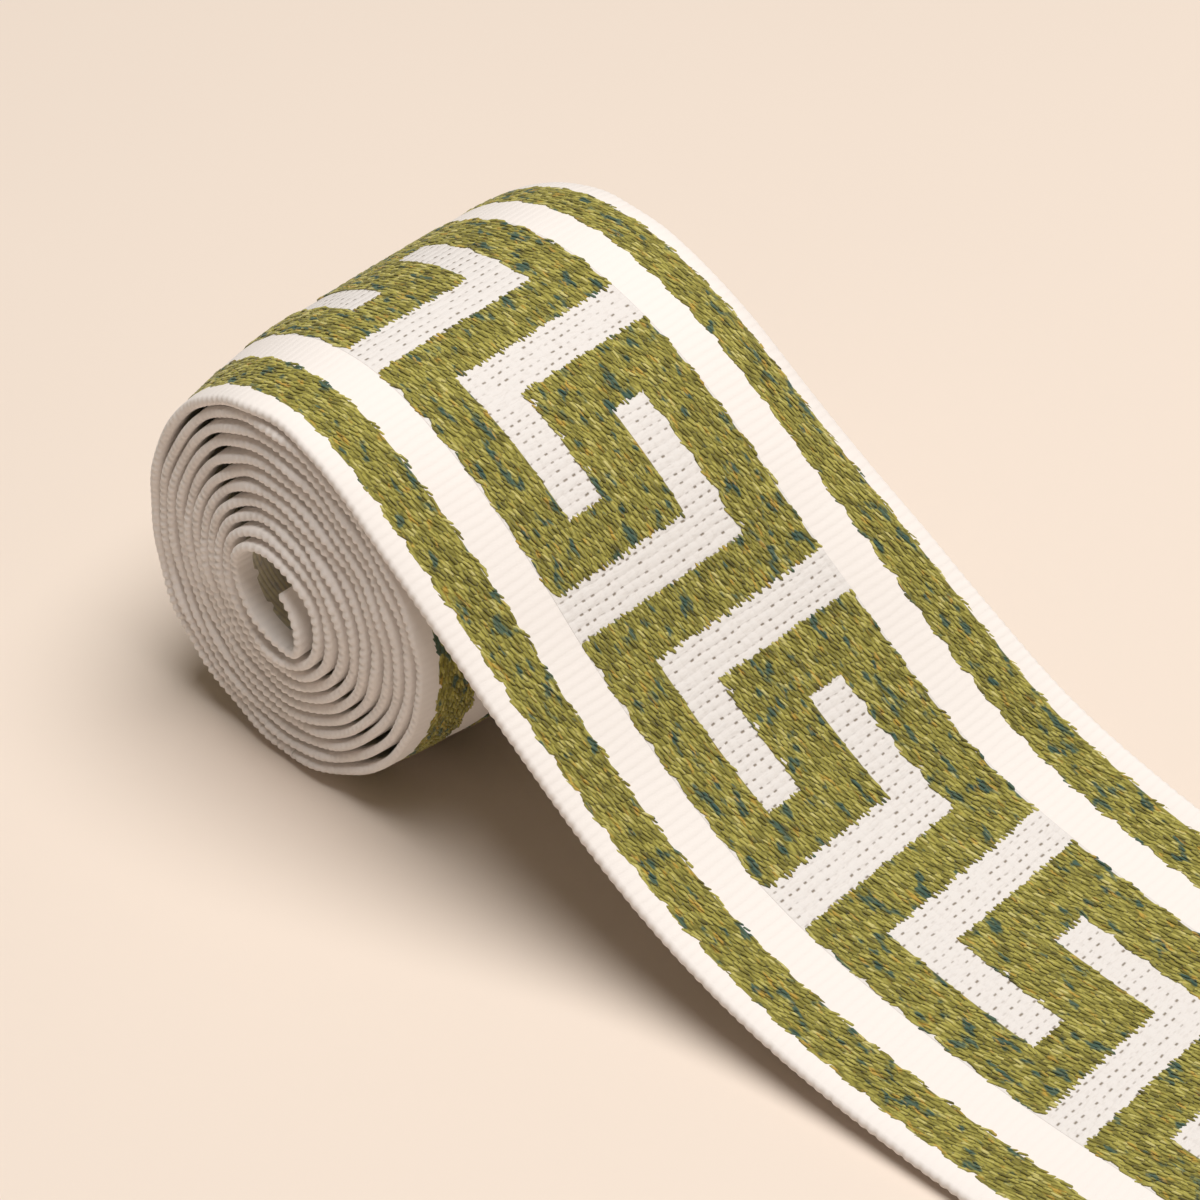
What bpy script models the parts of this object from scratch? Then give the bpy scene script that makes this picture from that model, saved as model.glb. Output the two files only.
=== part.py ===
"""Tape trim: a woven tape wound into a roll that lies on its side, with the loose end
leaving the top of the roll and running down to the surface.

X runs from the roll towards the loose end, Y runs across the tape and Z is up. The
origin is on the surface, under the middle of the roll's flat spot. Sizes in the
tables are millimetres and degrees.
"""

import math
from collections import namedtuple

import bmesh
import bpy

MM = 0.001

# Driving sizes
TAPE_WIDTH = 65.0
THICK_PATTERN = 1.5
THICK_SELVAGE = 1.2
NODE_GAP = 0.3

# The roll
AXIS_HEIGHT = 28.3
START_ANGLE = 90.0
TURNS = 10
INNER_END_TURNS = 0.9
RING_LONG, RING_SHORT = 8.9, 7.9
EYE_LONG, EYE_SHORT = 7.2, 3.7
EYE_LEAN = 122.0
CENTRE_STANDS_OUT = 2.0
STEP_ANGLE = 12.0
TURNS_APART_AT_FLAT = 1.9

# The loose end
END_LENGTH = 219.0
END_STEPS = 44

# A short first step at the split keeps the two faces there square to the tape
SHORT_STEP_ANGLE = 1.0
SHORT_STEP = 0.5

# Places across the tape, from the near edge (0) to the far edge (1), where the tables
# say how far the cloth lies outside its section line
ACROSS = (0.0, 0.25, 0.5, 0.75, 0.9, 1.0)
SELVAGE = 0.1
ROLL_ACROSS = (0.0, 0.07, 0.23, 0.5, 0.8, 0.93, 1.0)
END_ACROSS = (0.0, 0.05, 0.14, 0.26, 0.5, 0.74, 0.86, 0.95, 1.0)

# The outermost turn, by the angle round the roll: how far out it lies, how far the whole
# tape is shifted along Y, and the lifts of the places across it
Turn = namedtuple("Turn", "angle radius sway near near_in middle far_in far_band far")
OUTER_TURN = (
    Turn(90, 30.0, 0.0, -1.5, -0.2, 0, 0.2, 0.2, -1.0),
    Turn(120, 30.4, 1.0, -2.7, -0.4, 0, 0.3, 0.3, -0.8),
    Turn(150, 31.7, 1.5, -4.6, -0.9, 0, 0.4, 0.4, 0.0),
    Turn(180, 31.0, 0.9, -4.2, -1.0, 0, 0.3, 0.2, -0.5),
    Turn(210, 30.9, 0.5, -3.4, -0.9, 0, 0.2, 0.0, -1.0),
    Turn(240, 30.6, 0.2, -2.7, -0.6, 0, 0.1, -0.3, -1.5),
    Turn(270, 30.0, 0.0, -2.1, -0.2, 0, 0.0, -0.5, -1.8),
    Turn(300, 29.0, -0.2, -2.4, -0.5, 0, 0.0, -0.5, -1.8),
    Turn(330, 29.0, -0.4, -2.6, -0.6, 0, 0.0, -0.5, -1.8),
    Turn(360, 30.2, -0.6, -3.0, -0.6, 0, 0.0, -0.4, -1.8),
    Turn(390, 31.2, -0.6, -3.2, -0.8, 0, 0.0, -0.3, -1.6),
    Turn(420, 30.2, -0.4, -3.1, -0.7, 0, 0.1, 0.0, -1.4),
)

# Where the turns part from each other: the turn and the angle where the gap is widest,
# how far round it reaches, and how much wider than elsewhere it is
Parting = namedtuple("Parting", "turn angle reach opening")
PARTINGS = (
    Parting(1, 145, 16, 0.6),
    Parting(1, 314, 15, 0.35),
    Parting(2, 322, 18, 0.4),
    Parting(3, 208, 24, 0.6),
    Parting(4, 117, 14, 0.5),
    Parting(5, 125, 15, 0.6),
    Parting(7, 117, 15, 0.6),
    Parting(8, 114, 14, 0.5),
)
PARTING_FADES = 0.8

# The loose end, by the length from the top of the roll: how steeply it runs, its shift
# along Y, and the lifts of the places across it
Section = namedtuple("Section", "length slope sway near near_in middle far_in far_band far")
LOOSE_END = (
    Section(0, -1, 0.0, -1.5, -0.2, 0.0, 0.2, 0.2, -1.0),
    Section(11, -21, -0.5, -2.0, -0.2, 0.5, 1.0, 1.0, -0.6),
    Section(24, -32, -0.9, -3.6, -0.2, 1.5, 2.4, 2.4, 0.2),
    Section(37, -36, -0.9, -4.4, -1.3, 0.8, 2.5, 2.6, 0.4),
    Section(50, -37, -0.8, -5.0, -3.2, -1.1, 1.6, 2.7, 1.4),
    Section(63, -39, -0.4, -5.4, -4.0, -1.7, 1.3, 3.1, 2.8),
    Section(76, -34, -0.1, -4.9, -3.7, -1.7, 1.2, 3.2, 3.8),
    Section(89, -24, 0.0, -4.0, -2.9, -1.2, 1.1, 2.9, 4.0),
    Section(102, -14.5, 0.0, -3.3, -1.8, -0.1, 1.6, 2.8, 4.1),
    Section(115, -9, 0.0, -2.7, -1.3, 0.3, 1.7, 2.6, 3.7),
    Section(128, -5.5, 0.0, -2.1, -0.8, 0.6, 1.7, 2.4, 3.3),
    Section(141, -3.5, 0.1, -1.6, -0.3, 1.0, 1.8, 2.2, 2.7),
    Section(154, -3, 0.2, -1.2, -0.1, 1.1, 1.5, 1.8, 2.0),
    Section(167, -3, 0.2, -0.7, 0.0, 0.7, 0.9, 1.1, 1.2),
    Section(180, -1.5, 0.2, -0.2, 0.0, 0.2, 0.3, 0.3, 0.4),
    Section(190, 0, 0.2, 0, 0, 0, 0, 0, 0),
    Section(220, 0, 0.2, 0, 0, 0, 0, 0, 0),
)


def clear_scene():
    for obj in list(bpy.data.objects):
        bpy.data.objects.remove(obj, do_unlink=True)


def fabric(name, colour, roughness):
    """A plain woven fabric's material."""
    material = bpy.data.materials.new(name)
    material.use_nodes = True
    shader = material.node_tree.nodes["Principled BSDF"]
    shader.inputs["Base Color"].default_value = (*colour, 1.0)
    shader.inputs["Roughness"].default_value = roughness
    shader.inputs["Metallic"].default_value = 0.0
    return material


def smooth_value(places, values, at):
    """The value at a place, on a smooth curve through the given values."""
    last = len(places) - 1
    i = 0
    while i < last - 1 and at > places[i + 1]:
        i += 1

    def slope(j):
        low, high = max(j - 1, 0), min(j + 1, last)
        return (values[high] - values[low]) / (places[high] - places[low])

    span = places[i + 1] - places[i]
    t = min(max((at - places[i]) / span, 0.0), 1.0)
    start = (1 + 2 * t) * (1 - t) ** 2 * values[i] + t * (1 - t) ** 2 * span * slope(i)
    end = t * t * (3 - 2 * t) * values[i + 1] + t * t * (t - 1) * span * slope(i + 1)
    return start + end


def read_row(rows, at, period=0.0):
    """Every column of a table, read at a place between its rows."""
    if period:
        before = [row._replace(**{row._fields[0]: row[0] - period}) for row in rows]
        after = [row._replace(**{row._fields[0]: row[0] + period}) for row in rows]
        rows = before + list(rows) + after
    places = [row[0] for row in rows]
    values = [smooth_value(places, [row[c] for row in rows], at) for c in range(1, len(rows[0]))]
    return type(rows[0])(at, *values)


def lift(row, across):
    """How far outside its section line the cloth lies, at this place across it."""
    heights = (row.near, row.near_in, row.middle, row.far_in, row.far_band, row.far)
    return smooth_value(ACROSS, heights, across)


def oval(long_half, short_half, angle):
    """The radius of an oval round the eye, whose long axis has the eye's lean."""
    turn = math.radians(angle - EYE_LEAN)
    return 1 / math.hypot(math.cos(turn) / long_half, math.sin(turn) / short_half)


def parting_shift(wound, angle):
    """How far a turn is pushed inwards by the wider gaps outside it."""
    shift = 0.0
    for gap in PARTINGS:
        off = (angle - gap.angle + 180) % 360 - 180
        next_turn = 360 * gap.turn + (gap.angle - START_ANGLE) % 360 + off
        turns_below = round((wound - next_turn) / 360)
        if turns_below >= 0:
            reach = math.exp(-((off / gap.reach) ** 2))
            shift += gap.opening * PARTING_FADES**turns_below * reach
    return shift


def roll_point(wound, across):
    """The tape's outer side after it has wound this many degrees inwards."""
    angle = (START_ANGLE + wound) % 360
    row = read_row(OUTER_TURN, START_ANGLE + wound % 360, 360.0)
    ring = oval(RING_LONG, RING_SHORT, angle)
    wound_share = min(wound / (360 * TURNS), 1.0)
    radius = ring + (row.radius + lift(row, across) - ring) * (1 - wound_share)
    radius -= parting_shift(wound, angle) * (1 - wound_share)
    beyond = max(wound / 360 - TURNS, 0.0) / INNER_END_TURNS
    radius += (oval(EYE_LONG, EYE_SHORT, angle) - ring) * beyond
    y = (across - 0.5) * TAPE_WIDTH + row.sway * (1 - wound_share)
    y -= CENTRE_STANDS_OUT * wound_share**3
    x = radius * math.cos(math.radians(angle))
    z = AXIS_HEIGHT + radius * math.sin(math.radians(angle))
    lowest = TURNS_APART_AT_FLAT * (wound // 360)
    return x, y, max(z, lowest)


def end_line(lengths):
    """The loose end's section line, (x, z, slope) at each length, with its fall scaled a
    little so that it comes down exactly to the surface."""
    slopes = [math.radians(read_row(LOOSE_END, length).slope) for length in lengths]
    runs = []
    falls = []
    for i in range(1, len(lengths)):
        step, slope = lengths[i] - lengths[i - 1], (slopes[i] + slopes[i - 1]) / 2
        runs.append(step * math.cos(slope))
        falls.append(-step * math.sin(slope))
    x, z = NODE_GAP, AXIS_HEIGHT + OUTER_TURN[0].radius
    scale = (z - THICK_PATTERN) / sum(falls)
    line = [(x, z, slopes[0])]
    for run, fall, slope in zip(runs, falls, slopes[1:]):
        x += run
        z -= fall * scale
        line.append((x, z, slope))
    return line


def end_point(place, length, across):
    """The upper side of the loose end, which lies on the surface where it comes down."""
    x, z, slope = place
    row = read_row(LOOSE_END, length)
    up = lift(row, across)
    y = (across - 0.5) * TAPE_WIDTH + row.sway
    return x - up * math.sin(slope), y, max(z + up * math.cos(slope), THICK_PATTERN)


def tape_piece(name, points, columns, material):
    """A length of tape: its face side as a grid of quads, one row of points for each
    place along it, thickened inwards and thinner at the two selvages."""
    bm = bmesh.new()
    rows = [[bm.verts.new([value * MM for value in point]) for point in row] for row in points]
    for row, ahead in zip(rows, rows[1:]):
        for a, b, c, d in zip(row, row[1:], ahead[1:], ahead):
            bm.faces.new((a, b, c, d))
    mesh = bpy.data.meshes.new(name)
    bm.to_mesh(mesh)
    bm.free()
    mesh.shade_smooth()
    mesh.materials.append(material)
    piece = bpy.data.objects.new(name, mesh)
    bpy.context.collection.objects.link(piece)
    share = piece.vertex_groups.new(name="Thickness")
    for index in range(len(mesh.vertices)):
        in_pattern = SELVAGE < columns[index % len(columns)] < 1 - SELVAGE
        share.add([index], 1.0 if in_pattern else THICK_SELVAGE / THICK_PATTERN, "REPLACE")
    cloth = piece.modifiers.new("Cloth", "SOLIDIFY")
    cloth.thickness = THICK_PATTERN * MM
    cloth.offset = -1.0
    cloth.vertex_group = share.name
    return piece


def make_roll():
    """The spiral, from the top of the roll inwards to the tape's end in the eye."""
    steps = round((TURNS + INNER_END_TURNS) * 360 / STEP_ANGLE)
    winds = [0.0, SHORT_STEP_ANGLE] + [STEP_ANGLE * (i + 1) for i in range(steps)]
    points = [[roll_point(wound, across) for across in ROLL_ACROSS] for wound in winds]
    tape_piece("roll", points, ROLL_ACROSS, fabric("Wound tape", (0.72, 0.68, 0.58), 0.9))


def make_loose_end():
    """The free length, from the top of the roll down to its cut end on the surface."""
    lengths = [0.0, SHORT_STEP] + [END_LENGTH * (i + 1) / END_STEPS for i in range(END_STEPS)]
    points = [
        [end_point(place, length, across) for across in reversed(END_ACROSS)]
        for place, length in zip(end_line(lengths), lengths)
    ]
    tape_piece("loose_end", points, END_ACROSS, fabric("Loose tape", (0.45, 0.45, 0.22), 0.9))


def main():
    clear_scene()
    make_roll()
    make_loose_end()


main()
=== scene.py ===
"""The looks of a rolled tape trim: a cotton tape with a raised key pattern and two stripes
woven in melange yarn, the turns of its roll, and its loose end.

The tables of the tape's course are in millimetres and degrees, as in the part's source.
Everything that Blender is given is in metres.
"""

import math
from collections import namedtuple

import bmesh
import bpy
import numpy as np
from bpy.props import FloatProperty, FloatVectorProperty, IntProperty, PointerProperty
from mathutils import Matrix, Vector


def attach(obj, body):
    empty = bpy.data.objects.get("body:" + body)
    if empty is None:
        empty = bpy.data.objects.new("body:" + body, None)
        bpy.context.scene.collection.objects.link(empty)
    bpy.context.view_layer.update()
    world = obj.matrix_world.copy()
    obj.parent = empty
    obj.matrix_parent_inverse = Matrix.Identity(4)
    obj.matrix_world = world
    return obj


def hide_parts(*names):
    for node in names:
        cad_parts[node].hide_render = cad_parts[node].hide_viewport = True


bl_info = {
    "name": "Woven tape trim",
    "version": (1, 0, 0),
    "blender": (4, 5, 0),
    "location": "3D View > Sidebar > Tape trim",
    "description": "A rolled cotton tape with a raised key pattern, its loose end and its studio",
    "category": "Add Mesh",
}

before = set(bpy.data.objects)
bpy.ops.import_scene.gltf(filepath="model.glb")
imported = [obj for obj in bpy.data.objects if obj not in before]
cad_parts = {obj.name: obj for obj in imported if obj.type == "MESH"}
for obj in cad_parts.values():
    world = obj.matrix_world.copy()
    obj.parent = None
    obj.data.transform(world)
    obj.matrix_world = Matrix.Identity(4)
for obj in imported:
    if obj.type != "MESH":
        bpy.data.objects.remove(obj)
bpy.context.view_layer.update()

MM = 0.001

# The tape's course, as in the part's source
TAPE_WIDTH = 65.0
THICKNESS = 1.5
NODE_GAP = 0.3
AXIS_HEIGHT = 28.3
START_ANGLE = 90.0
TURNS = 10
INNER_END_TURNS = 0.9
RING_LONG, RING_SHORT = 8.9, 7.9
EYE_LONG, EYE_SHORT = 7.2, 3.7
EYE_LEAN = 122.0
CENTRE_STANDS_OUT = 2.0
TURNS_APART_AT_FLAT = 1.9
END_LENGTH = 219.0
ACROSS = (0.0, 0.25, 0.5, 0.75, 0.9, 1.0)

Turn = namedtuple("Turn", "angle radius sway near near_in middle far_in far_band far")
OUTER_TURN = (
    Turn(90, 30.0, 0.0, -1.5, -0.2, 0, 0.2, 0.2, -1.0),
    Turn(120, 30.4, 1.0, -2.7, -0.4, 0, 0.3, 0.3, -0.8),
    Turn(150, 31.7, 1.5, -4.6, -0.9, 0, 0.4, 0.4, 0.0),
    Turn(180, 31.0, 0.9, -4.2, -1.0, 0, 0.3, 0.2, -0.5),
    Turn(210, 30.9, 0.5, -3.4, -0.9, 0, 0.2, 0.0, -1.0),
    Turn(240, 30.6, 0.2, -2.7, -0.6, 0, 0.1, -0.3, -1.5),
    Turn(270, 30.0, 0.0, -2.1, -0.2, 0, 0.0, -0.5, -1.8),
    Turn(300, 29.0, -0.2, -2.4, -0.5, 0, 0.0, -0.5, -1.8),
    Turn(330, 29.0, -0.4, -2.6, -0.6, 0, 0.0, -0.5, -1.8),
    Turn(360, 30.2, -0.6, -3.0, -0.6, 0, 0.0, -0.4, -1.8),
    Turn(390, 31.2, -0.6, -3.2, -0.8, 0, 0.0, -0.3, -1.6),
    Turn(420, 30.2, -0.4, -3.1, -0.7, 0, 0.1, 0.0, -1.4),
)
Parting = namedtuple("Parting", "turn angle reach opening")
PARTINGS = (
    Parting(1, 145, 16, 0.6),
    Parting(1, 314, 15, 0.35),
    Parting(2, 322, 18, 0.4),
    Parting(3, 208, 24, 0.6),
    Parting(4, 117, 14, 0.5),
    Parting(5, 125, 15, 0.6),
    Parting(7, 117, 15, 0.6),
    Parting(8, 114, 14, 0.5),
)
PARTING_FADES = 0.8
Section = namedtuple("Section", "length slope sway near near_in middle far_in far_band far")
LOOSE_END = (
    Section(0, -1, 0.0, -1.5, -0.2, 0.0, 0.2, 0.2, -1.0),
    Section(11, -21, -0.5, -2.0, -0.2, 0.5, 1.0, 1.0, -0.6),
    Section(24, -32, -0.9, -3.6, -0.2, 1.5, 2.4, 2.4, 0.2),
    Section(37, -36, -0.9, -4.4, -1.3, 0.8, 2.5, 2.6, 0.4),
    Section(50, -37, -0.8, -5.0, -3.2, -1.1, 1.6, 2.7, 1.4),
    Section(63, -39, -0.4, -5.4, -4.0, -1.7, 1.3, 3.1, 2.8),
    Section(76, -34, -0.1, -4.9, -3.7, -1.7, 1.2, 3.2, 3.8),
    Section(89, -24, 0.0, -4.0, -2.9, -1.2, 1.1, 2.9, 4.0),
    Section(102, -14.5, 0.0, -3.3, -1.8, -0.1, 1.6, 2.8, 4.1),
    Section(115, -9, 0.0, -2.7, -1.3, 0.3, 1.7, 2.6, 3.7),
    Section(128, -5.5, 0.0, -2.1, -0.8, 0.6, 1.7, 2.4, 3.3),
    Section(141, -3.5, 0.1, -1.6, -0.3, 1.0, 1.8, 2.2, 2.7),
    Section(154, -3, 0.2, -1.2, -0.1, 1.1, 1.5, 1.8, 2.0),
    Section(167, -3, 0.2, -0.7, 0.0, 0.7, 0.9, 1.1, 1.2),
    Section(180, -1.5, 0.2, -0.2, 0.0, 0.2, 0.3, 0.3, 0.4),
    Section(190, 0, 0.2, 0, 0, 0, 0, 0, 0),
    Section(220, 0, 0.2, 0, 0, 0, 0, 0, 0),
)

# The zones across the tape that are woven in melange yarn, each with its number of rows of plies
Zone = namedtuple("Zone", "near far rows")
STRIPES = (Zone(2.95, 9.55, 11), Zone(55.6, 62.1, 11))
KEY_ROWS = (
    Zone(15.0, 22.45, 12),
    Zone(22.45, 27.95, 9),
    Zone(27.95, 36.6, 14),
    Zone(36.6, 41.85, 8),
    Zone(41.85, 50.05, 13),
)
KEY_NEAR, KEY_FAR = KEY_ROWS[0].near, KEY_ROWS[-1].far

# The white bars of the key in one repeat: from and to along the tape, near and far across
Bar = namedtuple("Bar", "start end near far")
KEY_REPEAT = 43.2
KEY_STARTS = 11.0
KEY_BARS = (
    Bar(0.1, 5.7, 22.45, 51.0),
    Bar(0.1, 22.4, 22.45, 27.95),
    Bar(30.15, 35.7, 14.0, 41.85),
    Bar(14.6, 35.7, 36.6, 41.85),
)

# How deep the cotton face lies under the CAD face, by the distance from the nearer edge
Depth = namedtuple("Depth", "across depth")
FACE_DEPTHS = (
    Depth(0.75, 0.02),
    Depth(2.3, 0.02),
    Depth(3.3, 0.26),
    Depth(9.2, 0.26),
    Depth(10.0, 0.18),
    Depth(14.6, 0.18),
    Depth(15.4, 0.26),
    Depth(32.5, 0.26),
)

# The plain bands, whose ribs stand up, by the distance from the nearer edge
EDGE_BAND_TO = 3.2
INNER_BAND = (9.3, 15.1)

# The way round the tape's section: over the face, round the far selvage, over the back and
# round the near selvage. The material takes the back to begin within the far selvage.
SELVAGE_WAY = 1.1
NEAR_WAY_STARTS, NEAR_WAY = 1.5, 0.7
BACK_FROM, BACK_TO = 0.8, 1.2

# How finely a length of tape is drawn: rows in a pick, columns on its face and on its
# back, and the seed of its beads
Grid = namedtuple("Grid", "pick_rows face back seed")
FREE_GRID = Grid(6, 34, 12, 3)
WOUND_GRID = Grid(4, 10, 6, 4)

# The notches between the beads vary in size. They are deeper, and thin the tape more,
# from 60 mm past the top of the roll inwards.
BEAD_SWELLS = (0.7, 1.3)
DEEP_BEADS_BEFORE = -60.0
DEEP_SWELL = 2.0
NOTCH_THINS, DEEP_NOTCH_THINS = 0.6, 1.1

# The selvages sway a little up to this length, and less the further from the edge
SWAY_BEFORE, SWAY_FADES = 6.0, 3.0

# The plies: how ragged the ends of a run are, the shortest run, the half length of a ply
# against its usual one, its least half length, and the pitch of rows that its width is for
RAGGED_START = (-0.3, 0.25)
RAGGED_END = (-0.35, 0.35)
SHORTEST_RUN = 1.0
PLY_REACHES = (0.75, 1.2)
LEAST_REACH, LEAST_ROOM = 0.75, 0.8
ROW_PITCH = 0.61

# How deep the middle of a ply lies under the CAD face, how much deeper its ends are, and
# how much deeper the plies at a tie are, over what half length
PLY_DEPTH, END_DIP, TIE_DIP, TIE_HALF = 0.2, 0.16, 0.1, 0.5

# How far the ties move from one row to the next, as a share of their distance, and how
# the outer rows of the pattern wave with them
TIE_STAGGER = 0.37
EDGE_WAVE, EDGE_WAVE_LEVEL = 0.6, 0.7

# The edges of the pattern on the cotton under the plies: how soft they are, which share of
# a tie's distance a white tooth takes, and how much longer the white bars are
EDGE_SOFT = 0.06
TOOTH_FROM, TOOTH_TO, TOOTH_SOFT = 0.4, 0.6, 0.06
BAR_EARLY, BAR_LATE = 0.6, 0.35

# The cotton yarns along the tape between the holes of the white bars, and the slanted
# plies that the ground shows between the real ones
WARP_STARTS, WARP_PITCH = 22.8, 1.335
GROUND_PLY_PITCH, GROUND_PLY_SLANT = 0.66, 0.19

# The studio, in metres: a large soft disk nearly overhead, and a weak warm sky
LOOKS_AT = (0.0420, -0.0176, 0.0423)
WINDOW_PLACE = (0.26, 0.1, 1.38)
WINDOW_SIZE, WINDOW_POWER = 1.15, 23.5
WINDOW_COLOUR = (1.0, 0.98, 0.955)
SKY_COLOUR, SKY_STRENGTH = (1.0, 0.87, 0.7, 1.0), 0.13
FLOOR_HALF = 2.5


def length_setting(name, description, default, low=0.0):
    """A length that can be set, in metres."""
    return FloatProperty(
        name=name, description=description, default=default, min=low, unit="LENGTH", precision=5
    )


def angle_setting(name, description, degrees):
    """An angle that can be set."""
    return FloatProperty(
        name=name, description=description, default=math.radians(degrees), unit="ROTATION"
    )


def colour_setting(name, description, default):
    """A colour that can be set."""
    return FloatVectorProperty(
        name=name, description=description, default=default, size=3, min=0, max=1, subtype="COLOR"
    )


class TapeSizes(bpy.types.PropertyGroup):
    """The sizes of the weave."""

    pick: length_setting(
        "Pick", "Length of tape that one rib of the cotton ground takes", 0.00135, 0.0005
    )
    rib_height: length_setting(
        "Rib height", "How far a rib of the cotton ground stands up", 0.00003
    )
    nose: length_setting(
        "Selvage half thickness", "Half the thickness of the rounded selvage", 0.00074, 0.0002
    )
    wound_nose: length_setting(
        "Wound selvage half thickness",
        "Half the thickness of the selvage where the turns press on it",
        0.0006,
        0.0002,
    )
    bead_depth: length_setting(
        "Bead depth", "How deep the notches between the weft loops of the selvage are", 0.00018
    )
    tie: length_setting(
        "Tie distance",
        "Length of tape between the ties that hold down a melange yarn",
        0.0054,
        0.001,
    )
    ply_length: length_setting(
        "Ply length", "Length of one visible ply of the melange yarn", 0.00195, 0.0005
    )
    ply_width: length_setting(
        "Ply width", "Width of one visible ply of the melange yarn", 0.00056, 0.0001
    )
    ply_height: length_setting(
        "Ply height", "Thickness of one ply of the melange yarn", 0.0005, 0.0001
    )
    ply_step: length_setting(
        "Ply step", "Length of yarn from one visible ply to the next", 0.0011, 0.0003
    )
    ply_slant: angle_setting(
        "Ply slant", "How far the twist turns a ply away from the tape's length", 13
    )


class TapeColours(bpy.types.PropertyGroup):
    """The colours of the yarns and of the floor."""

    cotton: colour_setting("Cotton", "The cotton ground in light", (0.88, 0.825, 0.79))
    # Painted shade: the dark colour laid into the small holes between the cotton yarns
    hole_shade: colour_setting(
        "Cotton gaps", "The small holes between the cotton yarns", (0.22, 0.17, 0.12)
    )
    # Bark is also the colour of the painted shade between the plies
    bark_and_shade: colour_setting("Bark", "The darkest fibres of the melange yarn", (0.07, 0.06, 0.018))
    olive: colour_setting("Olive", "The main fibres of the melange yarn", (0.225, 0.2, 0.035))
    leaf: colour_setting(
        "Leaf", "The light yellow-green fibres of the melange yarn", (0.45, 0.405, 0.09)
    )
    straw: colour_setting("Straw", "The palest fibres of the melange yarn", (0.6, 0.54, 0.2))
    gold: colour_setting("Gold", "The golden fibres of the melange yarn", (0.58, 0.36, 0.06))
    teal: colour_setting("Teal", "The teal flecks of the melange yarn", (0.02, 0.09, 0.09))
    floor: colour_setting("Floor", "The pale surface under the tape", (0.82, 0.71, 0.62))


class StudioSizes(bpy.types.PropertyGroup):
    """The camera, and the seed of the yarns."""

    azimuth: angle_setting("Camera azimuth", "Where the camera stands round the object", 44.03)
    elevation: angle_setting("Camera elevation", "How high the camera looks down from", 38.42)
    roll: angle_setting("Camera roll", "How far the camera leans to one side", -0.52)
    distance: length_setting(
        "Camera distance", "From the camera to the point that it looks at", 0.45706, 0.1
    )
    lens: FloatProperty(
        name="Camera lens",
        description="Focal length on a sensor 36 mm wide",
        default=113.82,
        min=10,
        unit="CAMERA",
    )
    seed: IntProperty(
        name="Seed",
        description="Starts the small irregularities of the yarns",
        default=11,
    )


def smooth_value(places, values, at):
    """The value at a place, on a smooth curve through the given values."""
    last = len(places) - 1
    i = 0
    while i < last - 1 and at > places[i + 1]:
        i += 1

    def slope(j):
        low, high = max(j - 1, 0), min(j + 1, last)
        return (values[high] - values[low]) / (places[high] - places[low])

    span = places[i + 1] - places[i]
    t = min(max((at - places[i]) / span, 0.0), 1.0)
    start = (1 + 2 * t) * (1 - t) ** 2 * values[i] + t * (1 - t) ** 2 * span * slope(i)
    end = t * t * (3 - 2 * t) * values[i + 1] + t * t * (t - 1) * span * slope(i + 1)
    return start + end


def read_row(rows, at, period=0.0):
    """Every column of a table, read at a place between its rows."""
    if period:
        before = [row._replace(**{row._fields[0]: row[0] - period}) for row in rows]
        after = [row._replace(**{row._fields[0]: row[0] + period}) for row in rows]
        rows = before + list(rows) + after
    places = [row[0] for row in rows]
    columns = list(zip(*rows))[1:]
    values = [smooth_value(places, column, at) for column in columns]
    return type(rows[0])(at, *values)


def lifts(row, columns):
    """How far outside its section line the cloth lies, at each place across it."""
    heights = (row.near, row.near_in, row.middle, row.far_in, row.far_band, row.far)
    return np.array([smooth_value(ACROSS, heights, across) for across in columns])


def oval(long_half, short_half, angle):
    """The radius of an oval round the eye, whose long axis has the eye's lean."""
    turn = math.radians(angle - EYE_LEAN)
    return 1 / math.hypot(math.cos(turn) / long_half, math.sin(turn) / short_half)


def parting_shift(wound, angle):
    """How far a turn is pushed inwards by the wider gaps outside it."""
    shift = 0.0
    for gap in PARTINGS:
        off = (angle - gap.angle + 180) % 360 - 180
        next_turn = 360 * gap.turn + (gap.angle - START_ANGLE) % 360 + off
        turns_below = round((wound - next_turn) / 360)
        if turns_below >= 0:
            reach = math.exp(-((off / gap.reach) ** 2))
            shift += gap.opening * PARTING_FADES**turns_below * reach
    return shift


def roll_points(wound, columns):
    """A row of points on the tape's outer side after it has wound this far inwards."""
    angle = (START_ANGLE + wound) % 360
    row = read_row(OUTER_TURN, START_ANGLE + wound % 360, 360.0)
    ring = oval(RING_LONG, RING_SHORT, angle)
    wound_share = min(wound / (360 * TURNS), 1.0)
    radius = ring + (row.radius + lifts(row, columns) - ring) * (1 - wound_share)
    radius -= parting_shift(wound, angle) * (1 - wound_share)
    beyond = max(wound / 360 - TURNS, 0.0) / INNER_END_TURNS
    radius += (oval(EYE_LONG, EYE_SHORT, angle) - ring) * beyond
    y = (columns - 0.5) * TAPE_WIDTH + row.sway * (1 - wound_share)
    y -= CENTRE_STANDS_OUT * wound_share**3
    x = radius * math.cos(math.radians(angle))
    z = AXIS_HEIGHT + radius * math.sin(math.radians(angle))
    return np.stack([x, y, np.maximum(z, TURNS_APART_AT_FLAT * (wound // 360))], axis=1)


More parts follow.
